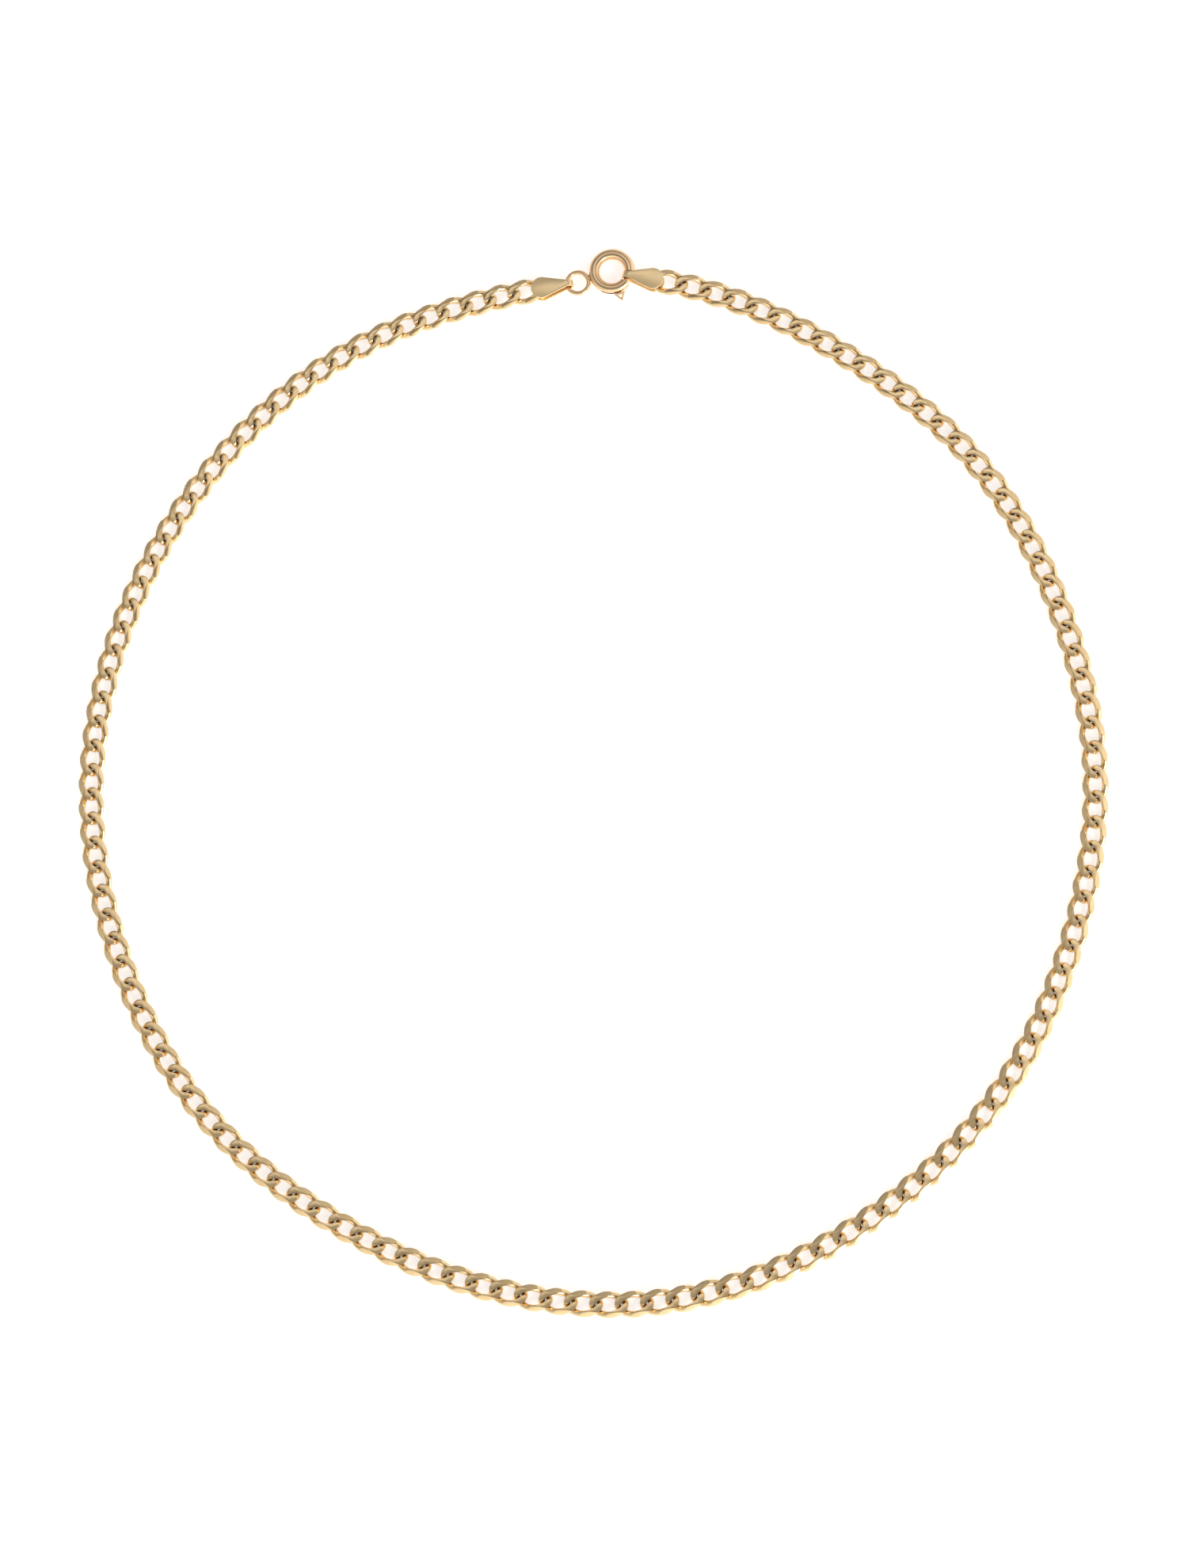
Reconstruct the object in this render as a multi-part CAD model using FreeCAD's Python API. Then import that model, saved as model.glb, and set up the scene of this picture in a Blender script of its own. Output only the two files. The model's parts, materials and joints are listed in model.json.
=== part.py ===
import FreeCAD, Part
import math
import os
from FreeCAD import Placement, Rotation, Vector

# A 16 inch necklace: a flattened curb chain, two folded end tags and a spring-ring clasp.
# Millimetres, +Z up, +Y towards the clasp. The chain lies as a closed loop on the plane Z = 0.
# The origin is the middle of the loop's bounding box, on that plane.

# ---- chain -------------------------------------------------------------------------------
LINK_COUNT = 123            # links between the two end tags
LINKS_PER_NODE = 3          # neighbouring links kept in one node
WIRE_DIAMETER = 0.84        # across the wire's flats
WIRE_SQUARENESS = 0.70      # 1 is round wire, less is nearer to a square with round corners
OPEN_LENGTH = 1.50          # daylight left in a link between its two neighbours
SIDE_PLAY = 0.40            # room on each side of a neighbour's wire, between the rails
CHAIN_THICKNESS = 1.04      # after flattening
INTERLOCK_GAP = 0.12        # between the wires where two links cross
LINK_TWIST = 45.0           # degrees, from the middle of a link to each end, left-handed
LINK_SQUARENESS = 0.85      # 1 is an ellipse, less has straighter rails
EDGE_FACET_RISE = 0.36      # height of the bevel cut along each rail
EDGE_FACET_RUN = 0.77       # its depth from the rail's outer side

# ---- spring-ring clasp ---------------------------------------------------------------------
RING_DIAMETER = 6.0         # outside of the clasp ring
TUBE_DIAMETER = 1.40        # tube that the ring is bent from
TUBE_WALL = 0.20
BOLT_CLEARANCE = 0.10       # bolt to bore
MOUTH_START = -41.0         # degrees round the ring from +X, the tube's lower end
MOUTH_END = -2.0            # the tube's upper end
BOLT_TRAVEL = 42.0          # degrees that the bolt draws back
BOLT_ENGAGEMENT = 9.0       # degrees that the closed bolt reaches into the tube's upper end
PIN_ANGLE = -71.0           # thumb pin with the bolt closed
PIN_REACH = 4.25            # from the ring's middle to the pin's point
PIN_WIDTH = 1.50
PIN_THICKNESS = 0.50
PIN_WALL = 0.24
PIN_STEM_DIAMETER = 0.24
PIN_CLEARANCE = 0.08        # pin and stem to the tube
BOLT_TAIL = 14.0            # degrees of bolt behind the thumb pin
SPRING_WIRE = 0.12
SPRING_CLEARANCE = 0.08     # coil to bore
SPRING_COILS = 13
SPRING_SPAN = 98.0          # degrees taken by the relaxed spring
STOP_SPAN = 8.0             # degrees taken by the plug behind the spring
EYE_DIAMETER = 3.4          # small soldered ring
EYE_WIRE = 0.60
EYE_ANGLE = 197.5           # where the eye sits on the clasp ring
EYE_SOLDER = 0.06           # depth of the soldered joint

# ---- end tags ------------------------------------------------------------------------------
TAG_LENGTH = 5.50           # from the fold to the round end
TAG_ROUND_RADIUS = 1.38
TAG_NECK_WIDTH = 0.86       # at the fold
TAG_SHEET = 0.25            # sheet thickness of each leaf
TAG_GAP_CLEARANCE = 0.15    # spare height between the leaves, over the chain's thickness
POST_DIAMETER = 0.60        # soldered post that holds the end link
POST_CLEARANCE = 0.06
POST_TO_ROUND_END = 0.55
LEFT_TAG_HEADING = 188.9    # degrees, from the fold to the round end
RIGHT_TAG_HEADING = -11.9
CATCH_ANGLE = -17.5         # where the right tag hangs on the bolt

# ---- how the loop lies -----------------------------------------------------------------------
# Radius of the laid chain's middle line, every 20 degrees, from 120 round to 420.
# It is a loosely laid loop, so the radii were read off one by one.
LAY_FIRST_ANGLE = 120.0
LAY_STEP = 20.0
LAY_RADII = (65.6, 65.1, 64.8, 64.7, 64.3, 64.5, 64.2, 65.2,
             66.2, 65.5, 64.8, 63.6, 63.2, 62.8, 63.5, 63.9)
RING_PLACE = Vector(2.40, 67.20, 0.0)

# ---- sizes that follow -------------------------------------------------------------------------
LINK_PITCH = OPEN_LENGTH + 2 * WIRE_DIAMETER                 # from one link's middle to the next
LINK_WIDTH = 3 * WIRE_DIAMETER + 2 * SIDE_PLAY               # across both rails
LINK_A = (LINK_PITCH + WIRE_DIAMETER + INTERLOCK_GAP) / 2    # half length of the wire's middle line
LINK_B = (LINK_WIDTH - WIRE_DIAMETER) / 2                    # half width of the wire's middle line
TAG_GAP = CHAIN_THICKNESS + TAG_GAP_CLEARANCE
TAG_HEIGHT = TAG_GAP + 2 * TAG_SHEET
TAG_FOLD_RADIUS = TAG_HEIGHT / 2
POST_FROM_FOLD_AXIS = TAG_LENGTH - TAG_FOLD_RADIUS - POST_TO_ROUND_END
TUBE_RADIUS = TUBE_DIAMETER / 2
BORE_RADIUS = TUBE_RADIUS - TUBE_WALL
BOLT_DIAMETER = 2 * (BORE_RADIUS - BOLT_CLEARANCE)
RING_RADIUS = (RING_DIAMETER - TUBE_DIAMETER) / 2            # to the middle of the tube
RING_HEIGHT = TUBE_RADIUS                                    # the ring lies on the plane
EYE_RADIUS = (EYE_DIAMETER - EYE_WIRE) / 2
EYE_FROM_RING = (RING_DIAMETER + EYE_DIAMETER) / 2 - EYE_SOLDER
END_LINK_FROM_POST = LINK_A - (WIRE_DIAMETER + POST_DIAMETER) / 2 - POST_CLEARANCE
END_LINK_LIFT = TAG_SHEET + TAG_GAP_CLEARANCE / 3            # end links lie on the lower leaf
BOLT_TIP_ANGLE = MOUTH_END + BOLT_ENGAGEMENT
BOLT_TAIL_ANGLE = PIN_ANGLE - BOLT_TAIL
STOP_ANGLE = BOLT_TAIL_ANGLE - SPRING_SPAN
TOP_AXIS = Vector(0, 0, 1)


def polar(radius, degrees, height=0.0):
    """A point at a radius and an angle round Z."""
    turn = math.radians(degrees)
    return Vector(radius * math.cos(turn), radius * math.sin(turn), height)


def signed_power(value, power):
    return math.copysign(abs(value) ** power, value)


# ---- chain link ----------------------------------------------------------------------------------
def link_middle_line(turn):
    """A point on the wire's middle line: a squarish oval that rolls about X towards each end."""
    along = signed_power(math.cos(turn), LINK_SQUARENESS)
    across = LINK_B * signed_power(math.sin(turn), LINK_SQUARENESS)
    roll = -math.radians(LINK_TWIST) * along
    return Vector(LINK_A * along, across * math.cos(roll), across * math.sin(roll))


def link_section_frame(turn):
    """The middle point of a section of the wire, and two directions across the wire there."""
    middle = link_middle_line(turn)
    tangent = link_middle_line(turn + 1e-4) - link_middle_line(turn - 1e-4)
    roll = -math.radians(LINK_TWIST) * middle.x / LINK_A
    side = Vector(0, -math.sin(roll), math.cos(roll)).cross(tangent)
    side.normalize()
    up = tangent.cross(side)
    up.normalize()
    return middle, side, up


def link_wire():
    """The closed wire with its rounded square section, as one surface that is periodic both ways."""
    stations = 40
    points = 16
    line_scale = 3 / (2 + math.cos(2 * math.pi / stations))      # a cubic curve runs inside its poles
    next_pole = math.cos(2 * math.pi / points) ** WIRE_SQUARENESS
    pole_radius = WIRE_DIAMETER / 2 * 3 / (2 + next_pole)
    poles = []
    for station in range(stations):
        middle, side, up = link_section_frame(2 * math.pi * (station + 0.5) / stations)
        row = []
        for point in range(points):
            turn = 2 * math.pi * point / points
            row.append(middle * line_scale
                       + side * (pole_radius * signed_power(math.cos(turn), WIRE_SQUARENESS))
                       + up * (pole_radius * signed_power(math.sin(turn), WIRE_SQUARENESS)))
        poles.append(row)
    surface = Part.BSplineSurface()
    surface.buildFromPolesMultsKnots(poles, [1] * (stations + 1), [1] * (points + 1),
                                     list(range(stations + 1)), list(range(points + 1)), True, True, 3, 3)
    return Part.Solid(Part.Shell([surface.toShape()]))


def flattening_prism():
    """The bar that a flattened link fits inside: two flat faces and a bevel along each edge."""
    half_height = CHAIN_THICKNESS / 2
    half_width = LINK_WIDTH / 2
    shoulder = half_width - EDGE_FACET_RUN
    side = half_height - EDGE_FACET_RISE
    corners = [(shoulder, half_height), (half_width, side), (half_width, -side),
               (shoulder, -half_height), (-shoulder, -half_height), (-half_width, -side),
               (-half_width, side), (-shoulder, half_height)]
    length = 2 * LINK_A + 2 * WIRE_DIAMETER
    outline = Part.makePolygon([Vector(-length / 2, y, z) for y, z in corners + corners[:1]])
    return Part.Face(outline).extrude(Vector(length, 0, 0))


def make_link():
    return link_wire().common(flattening_prism()).Solids[0]


# ---- end tags --------------------------------------------------------------------------------------
def tag_side_profile():
    """The folded strip seen from its edge, in the XZ plane, with the fold's axis at the origin."""
    reach = TAG_LENGTH
    outer = TAG_HEIGHT / 2
    inner = TAG_GAP / 2
    return Part.Face(Part.Wire([
        Part.makeLine(Vector(reach, 0, -outer), Vector(0, 0, -outer)),
        Part.Arc(Vector(0, 0, -outer), Vector(-outer, 0, 0), Vector(0, 0, outer)).toShape(),
        Part.makeLine(Vector(0, 0, outer), Vector(reach, 0, outer)),
        Part.makeLine(Vector(reach, 0, outer), Vector(reach, 0, inner)),
        Part.makeLine(Vector(reach, 0, inner), Vector(0, 0, inner)),
        Part.Arc(Vector(0, 0, inner), Vector(-inner, 0, 0), Vector(0, 0, -inner)).toShape(),
        Part.makeLine(Vector(0, 0, -inner), Vector(reach, 0, -inner)),
        Part.makeLine(Vector(reach, 0, -inner), Vector(reach, 0, -outer))]))


def tag_plan_outline():
    """The teardrop seen from above: a narrow neck, straight tapering sides and a round end."""
    neck = TAG_NECK_WIDTH / 2
    middle = TAG_LENGTH - TAG_FOLD_RADIUS - TAG_ROUND_RADIUS
    back = -2 * TAG_FOLD_RADIUS
    distance = math.hypot(middle, neck)
    slope = math.asin(TAG_ROUND_RADIUS / distance) - math.atan2(neck, middle)
    touch_x = middle - TAG_ROUND_RADIUS * math.sin(slope)
    touch_y = TAG_ROUND_RADIUS * math.cos(slope)
    return Part.Face(Part.Wire([
        Part.makeLine(Vector(back, -neck, 0), Vector(0, -neck, 0)),
        Part.makeLine(Vector(0, -neck, 0), Vector(touch_x, -touch_y, 0)),
        Part.Arc(Vector(touch_x, -touch_y, 0), Vector(middle + TAG_ROUND_RADIUS, 0, 0),
                 Vector(touch_x, touch_y, 0)).toShape(),
        Part.makeLine(Vector(touch_x, touch_y, 0), Vector(0, neck, 0)),
        Part.makeLine(Vector(0, neck, 0), Vector(back, neck, 0)),
        Part.makeLine(Vector(back, neck, 0), Vector(back, -neck, 0))]))


def make_tag():
    """A tag with its fold's axis at X = 0 and its lower leaf on Z = 0."""
    strip = tag_side_profile()
    strip.translate(Vector(0, -TAG_ROUND_RADIUS * 2, TAG_HEIGHT / 2))
    strip = strip.extrude(Vector(0, TAG_ROUND_RADIUS * 4, 0))
    plan = tag_plan_outline()
    plan.translate(Vector(0, 0, -TAG_HEIGHT))
    return strip.common(plan.extrude(Vector(0, 0, TAG_HEIGHT * 3))).Solids[0]


def make_post():
    return Part.makeCylinder(POST_DIAMETER / 2, TAG_GAP, Vector(POST_FROM_FOLD_AXIS, 0, TAG_SHEET))


# ---- spring-ring clasp -------------------------------------------------------------------------------
def ring_sweep(section_radius, start, end):
    """A round bar bent round the ring's middle, from one angle to the other."""
    circle = Part.makeCircle(section_radius, Vector(RING_RADIUS, 0, RING_HEIGHT), Vector(0, 1, 0))
    bar = Part.Face(Part.Wire(circle)).revolve(Vector(), TOP_AXIS, end - start)
    bar.rotate(Vector(), TOP_AXIS, start)
    return bar


def pin_slot():
    """The slot along the tube's outer side that the thumb pin's stem slides in."""
    half = PIN_STEM_DIAMETER / 2 + PIN_CLEARANCE
    spare = math.degrees(half / RING_RADIUS)
    section = Part.makePolygon([
        Vector(RING_RADIUS, 0, RING_HEIGHT - half), Vector(RING_DIAMETER, 0, RING_HEIGHT - half),
        Vector(RING_DIAMETER, 0, RING_HEIGHT + half), Vector(RING_RADIUS, 0, RING_HEIGHT + half),
        Vector(RING_RADIUS, 0, RING_HEIGHT - half)])
    slot = Part.Face(section).revolve(Vector(), TOP_AXIS, BOLT_TRAVEL + 2 * spare)
    slot.rotate(Vector(), TOP_AXIS, PIN_ANGLE - BOLT_TRAVEL - spare)
    return slot


def make_ring_tube():
    arc_end = MOUTH_START + 360
    tube = ring_sweep(TUBE_RADIUS, MOUTH_END, arc_end)
    bore = ring_sweep(BORE_RADIUS, MOUTH_END - 1, arc_end + 1)
    return tube.cut(bore).cut(pin_slot()).Solids[0]


def make_bolt():
    bolt = ring_sweep(BOLT_DIAMETER / 2, BOLT_TAIL_ANGLE, BOLT_TIP_ANGLE)
    nose = Part.makeSphere(BOLT_DIAMETER / 2, polar(RING_RADIUS, BOLT_TIP_ANGLE, RING_HEIGHT))
    return bolt.fuse(nose).removeSplitter().Solids[0]


def pin_triangle(base, half_width, tip):
    """A triangle pointing out along +X, as a plate of the pin's thickness."""
    low = RING_HEIGHT - PIN_THICKNESS / 2
    corners = [Vector(base, -half_width, low), Vector(tip, 0, low), Vector(base, half_width, low)]
    face = Part.Face(Part.makePolygon(corners + corners[:1]))
    return face.extrude(Vector(0, 0, PIN_THICKNESS))


def make_thumb_pin(bolt):
    """A pointed loop outside the tube, on a stem that stands on the bolt."""
    base = RING_DIAMETER / 2 + PIN_CLEARANCE
    slope = math.atan2(PIN_WIDTH / 2, PIN_REACH - base)
    inner_tip = PIN_REACH - PIN_WALL / math.sin(slope)
    inner_half = (inner_tip - base - PIN_WALL) * math.tan(slope)
    loop = pin_triangle(base, PIN_WIDTH / 2, PIN_REACH)
    loop = loop.cut(pin_triangle(base + PIN_WALL, inner_half, inner_tip))
    stem = Part.makeCylinder(PIN_STEM_DIAMETER / 2, base + PIN_WALL / 2 - RING_RADIUS,
                             Vector(RING_RADIUS, 0, RING_HEIGHT), Vector(1, 0, 0))
    pin = loop.fuse(stem)
    pin.rotate(Vector(), TOP_AXIS, PIN_ANGLE)
    return pin.cut(bolt).removeSplitter().Solids[0]


def spring_wire_section(middle, normal):
    """The spring wire's section: an octagon as wide as the wire."""
    side_count = 8
    corner_radius = SPRING_WIRE / 2 / math.cos(math.pi / side_count)
    turn = Rotation(TOP_AXIS, normal)
    corners = [middle + turn.multVec(polar(corner_radius, 360 * corner / side_count))
               for corner in range(side_count)]
    return Part.makePolygon(corners + corners[:1])


def make_spring():
    """A coil that lies in the bore between the bolt's tail and the stop."""
    coil_radius = BORE_RADIUS - SPRING_CLEARANCE - SPRING_WIRE / 2
    points_per_coil = 12
    total = SPRING_COILS * points_per_coil
    end_gap = math.degrees(SPRING_WIRE / RING_RADIUS)
    start = STOP_ANGLE + end_gap
    span = SPRING_SPAN - 2 * end_gap
    points = []
    for step in range(total + 1):
        turn = 2 * math.pi * step / points_per_coil
        radius = RING_RADIUS + coil_radius * math.cos(turn)
        height = RING_HEIGHT + coil_radius * math.sin(turn)
        points.append(polar(radius, start + span * step / total, height))
    curve = Part.BSplineCurve()
    curve.interpolate(points)
    start_tangent = curve.tangent(curve.FirstParameter)[0]
    section = spring_wire_section(points[0], start_tangent)
    return Part.Wire(curve.toShape()).makePipeShell([section], True, True)


def make_spring_stop():
    return ring_sweep(BORE_RADIUS, STOP_ANGLE - STOP_SPAN, STOP_ANGLE)


def make_eye():
    """The small closed ring, cut to the clasp ring's outer side where it is soldered on."""
    middle = polar(EYE_FROM_RING, EYE_ANGLE, RING_HEIGHT)
    eye = Part.makeTorus(EYE_RADIUS, EYE_WIRE / 2, middle, TOP_AXIS)
    tube = Part.makeTorus(RING_RADIUS, TUBE_RADIUS, Vector(0, 0, RING_HEIGHT), TOP_AXIS)
    return eye.cut(tube).Solids[0]


# ---- layout --------------------------------------------------------------------------------------------
def left_tag_place():
    """The left tag's fold goes round the far side of the eye."""
    eye = RING_PLACE + polar(EYE_FROM_RING, EYE_ANGLE)
    fold = eye + polar(EYE_RADIUS, LEFT_TAG_HEADING)
    return fold, LEFT_TAG_HEADING


def right_tag_place():
    """The right tag's fold goes round the bolt, in the ring's mouth."""
    return RING_PLACE + polar(RING_RADIUS, CATCH_ANGLE), RIGHT_TAG_HEADING


def post_place(tag_place):
    fold, heading = tag_place
    return fold + polar(POST_FROM_FOLD_AXIS, heading)


def chain_route(scale):
    """The chain's middle line from the left post round to the right post.

    It leaves and reaches the posts in line with the tags.
    """
    left = post_place(left_tag_place())
    right = post_place(right_tag_place())
    points = [left, left + polar(LINK_PITCH, LEFT_TAG_HEADING)]
    for index, radius in enumerate(LAY_RADII):
        points.append(polar(radius * scale, LAY_FIRST_ANGLE + index * LAY_STEP))
    points += [right + polar(LINK_PITCH, RIGHT_TAG_HEADING), right]
    curve = Part.BSplineCurve()
    curve.interpolate(points)
    return curve


def chain_stations():
    """Distances along the route of the left post, every crossing of two links and the right post."""
    first = END_LINK_FROM_POST + LINK_PITCH / 2
    crossings = [first + LINK_PITCH * index for index in range(LINK_COUNT - 1)]
    return [0.0] + crossings + [crossings[-1] + first]


def fitted_route():
    """The route scaled until it is as long as the chain."""
    wanted = chain_stations()[-1]
    low, high = 0.5, 2.0
    for _ in range(40):
        scale = (low + high) / 2
        if chain_route(scale).length() > wanted:
            high = scale
        else:
            low = scale
    return chain_route(scale)


def crossing_points():
    """The pivots of the chain: left post, each crossing of two links, right post."""
    route = fitted_route()
    return [route.value(route.parameterAtDistance(distance)) for distance in chain_stations()]


def link_lift(index):
    """The end link lies on its tag's lower leaf, and the next one steps down to the plane."""
    from_end = min(index, LINK_COUNT - 1 - index)
    return END_LINK_LIFT * max(0.0, 1.0 - from_end / 2)


def link_places(pivots):
    """Where each link goes: along the line between its two pivots."""
    places = []
    for index in range(LINK_COUNT):
        start = pivots[index]
        end = pivots[index + 1]
        heading = math.degrees(math.atan2(end.y - start.y, end.x - start.x))
        if index == 0:
            middle = start + polar(END_LINK_FROM_POST, heading)
        elif index == LINK_COUNT - 1:
            middle = end - polar(END_LINK_FROM_POST, heading)
        else:
            middle = (start + end) * 0.5
        step_down = link_lift(index - 1) - link_lift(index + 1) if 0 < index < LINK_COUNT - 1 else 0.0
        pitch_down = math.degrees(math.atan2(step_down, 2 * LINK_PITCH))
        middle.z = CHAIN_THICKNESS / 2 + link_lift(index)
        turn = Rotation(TOP_AXIS, heading).multiply(Rotation(Vector(0, 1, 0), pitch_down))
        places.append(Placement(middle, turn))
    return places


def tag_placement(tag_place):
    fold, heading = tag_place
    return Placement(fold, Rotation(TOP_AXIS, heading))


def middle_of_loop(shapes):
    """The middle of the bounding box, seen from above."""
    box = FreeCAD.BoundBox()
    for shape in shapes:
        box.add(shape.optimalBoundingBox(False, False))
    return Vector(box.Center.x, box.Center.y, 0)


def laid_out(shape, placement):
    copy = shape.copy()
    copy.Placement = placement.multiply(copy.Placement)
    return copy


def chain_groups(link, places):
    """Nodes of neighbouring links, from the left tag round to the right tag."""
    nodes = {}
    for start in range(0, LINK_COUNT, LINKS_PER_NODE):
        members = [laid_out(link, place) for place in places[start:start + LINKS_PER_NODE]]
        nodes["links_%02d" % (start // LINKS_PER_NODE + 1)] = Part.Compound(members)
    return nodes


def clasp_nodes():
    bolt = make_bolt()
    pieces = {
        "clasp_ring_tube": make_ring_tube(),
        "clasp_bolt": bolt,
        "thumb_pin": make_thumb_pin(bolt),
        "bolt_spring": make_spring(),
        "spring_stop": make_spring_stop(),
        "clasp_eye": make_eye()}
    place = Placement(RING_PLACE, Rotation())
    return {name: laid_out(shape, place) for name, shape in pieces.items()}


def tag_nodes():
    tag = make_tag()
    post = make_post()
    nodes = {}
    for side, place in (("left", left_tag_place()), ("right", right_tag_place())):
        nodes[side + "_tag"] = laid_out(tag, tag_placement(place))
        nodes[side + "_tag_post"] = laid_out(post, tag_placement(place))
    return nodes


def build():
    """Every node, with the origin in the middle of the loop."""
    nodes = clasp_nodes()
    nodes.update(tag_nodes())
    nodes.update(chain_groups(make_link(), link_places(crossing_points())))
    middle = middle_of_loop(nodes.values())
    for shape in nodes.values():
        shape.translate(middle * -1)
    return nodes, middle


def main():
    os.makedirs("parts", exist_ok=True)
    nodes, _ = build()
    for name, shape in nodes.items():
        shape.exportStep("parts/%s.step" % name)


if __name__ == "__main__":
    main()
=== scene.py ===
"""A flattened curb-link necklace chain with a spring-ring clasp, laid out as a closed loop."""

import json
import math

import bpy
from bpy.props import FloatProperty, FloatVectorProperty, IntProperty, PointerProperty
from mathutils import Matrix, Vector


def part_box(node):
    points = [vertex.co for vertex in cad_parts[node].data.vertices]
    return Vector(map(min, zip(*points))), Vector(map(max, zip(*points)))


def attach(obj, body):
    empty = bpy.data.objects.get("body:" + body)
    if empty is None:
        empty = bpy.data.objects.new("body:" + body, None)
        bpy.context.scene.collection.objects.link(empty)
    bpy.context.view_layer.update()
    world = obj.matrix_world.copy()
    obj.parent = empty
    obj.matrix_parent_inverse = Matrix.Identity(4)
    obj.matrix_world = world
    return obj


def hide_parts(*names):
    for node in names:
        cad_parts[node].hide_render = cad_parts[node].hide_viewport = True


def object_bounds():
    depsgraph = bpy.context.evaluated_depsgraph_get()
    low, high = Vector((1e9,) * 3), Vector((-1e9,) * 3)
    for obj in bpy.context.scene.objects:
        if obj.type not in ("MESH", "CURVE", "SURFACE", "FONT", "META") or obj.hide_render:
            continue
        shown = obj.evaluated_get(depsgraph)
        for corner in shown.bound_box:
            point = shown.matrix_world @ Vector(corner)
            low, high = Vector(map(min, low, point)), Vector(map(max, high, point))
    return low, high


bl_info = {
    "name": "Curb link necklace",
    "version": (1, 0, 0),
    "blender": (4, 5, 0),
    "location": "View3D > Sidebar > Necklace",
    "description": "Builds a curb-link necklace with its clasp and end tags round its packed frame",
    "category": "Add Mesh",
}

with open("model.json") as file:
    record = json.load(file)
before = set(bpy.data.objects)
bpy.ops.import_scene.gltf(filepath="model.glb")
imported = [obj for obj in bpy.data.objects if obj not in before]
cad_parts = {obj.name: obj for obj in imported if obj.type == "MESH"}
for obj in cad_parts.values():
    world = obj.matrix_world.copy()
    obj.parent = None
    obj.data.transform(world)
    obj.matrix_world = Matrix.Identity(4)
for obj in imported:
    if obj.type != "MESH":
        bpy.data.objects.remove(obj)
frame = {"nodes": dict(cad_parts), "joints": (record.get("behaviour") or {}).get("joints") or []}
CAD_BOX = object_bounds()
JOINTS = {joint["name"]: joint for joint in frame["joints"]}

MM = 0.001
RING_STEPS = 96     # straight runs that make up the bent tube
# colour of the painted shadow where one link crosses the next
PAINTED_SHADOW_BROWN = (0.17, 0.09, 0.03)
LINK_NODES = sorted(name for name in frame["nodes"] if name.startswith("links_"))


# ---- sizes and colours that a user would change --------------------------------------------------
class ChainSettings(bpy.types.PropertyGroup):
    """Sizes of one chain link, in millimetres."""
    wire: FloatProperty(name="Wire", description="Thickness of the wire, in mm", default=0.84, min=0.2)
    corner: FloatProperty(
        name="Corner", description="Rounding of the wire's corners: 1 is a round wire, 0 a square one",
        default=0.84)
    half_length: FloatProperty(
        name="Half length", description="Half the length of the wire's middle line, in mm", default=2.07)
    half_width: FloatProperty(
        name="Half width", description="Half the width of the wire's middle line, in mm", default=1.24)
    squareness: FloatProperty(
        name="Squareness", description="Power of the oval: 1 is an ellipse, less is squarer", default=0.85)
    crossing: FloatProperty(
        name="Crossing", description="From a link's middle to where it crosses the next, in mm", default=1.59)
    twist: FloatProperty(
        name="Twist", description="How far each end is rolled from the middle", default=math.radians(45),
        subtype="ANGLE")
    thickness: FloatProperty(
        name="Thickness", description="Height between the two flats, in mm", default=1.04)
    facet_rise: FloatProperty(
        name="Facet rise", description="Height of the bevel along each edge, in mm", default=0.36)
    facet_run: FloatProperty(
        name="Facet run", description="Width of the bevel along each edge, in mm", default=0.77)
    crown: FloatProperty(
        name="Crown", description="How far each half of a flat falls towards its end",
        default=math.radians(1.6), subtype="ANGLE")
    edge_softness: FloatProperty(
        name="Edge softness", description="Polished rounding of each facet's edge, in mm", default=0.045)
    stations: IntProperty(name="Stations", description="Sections round a link", default=40, min=12)


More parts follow.
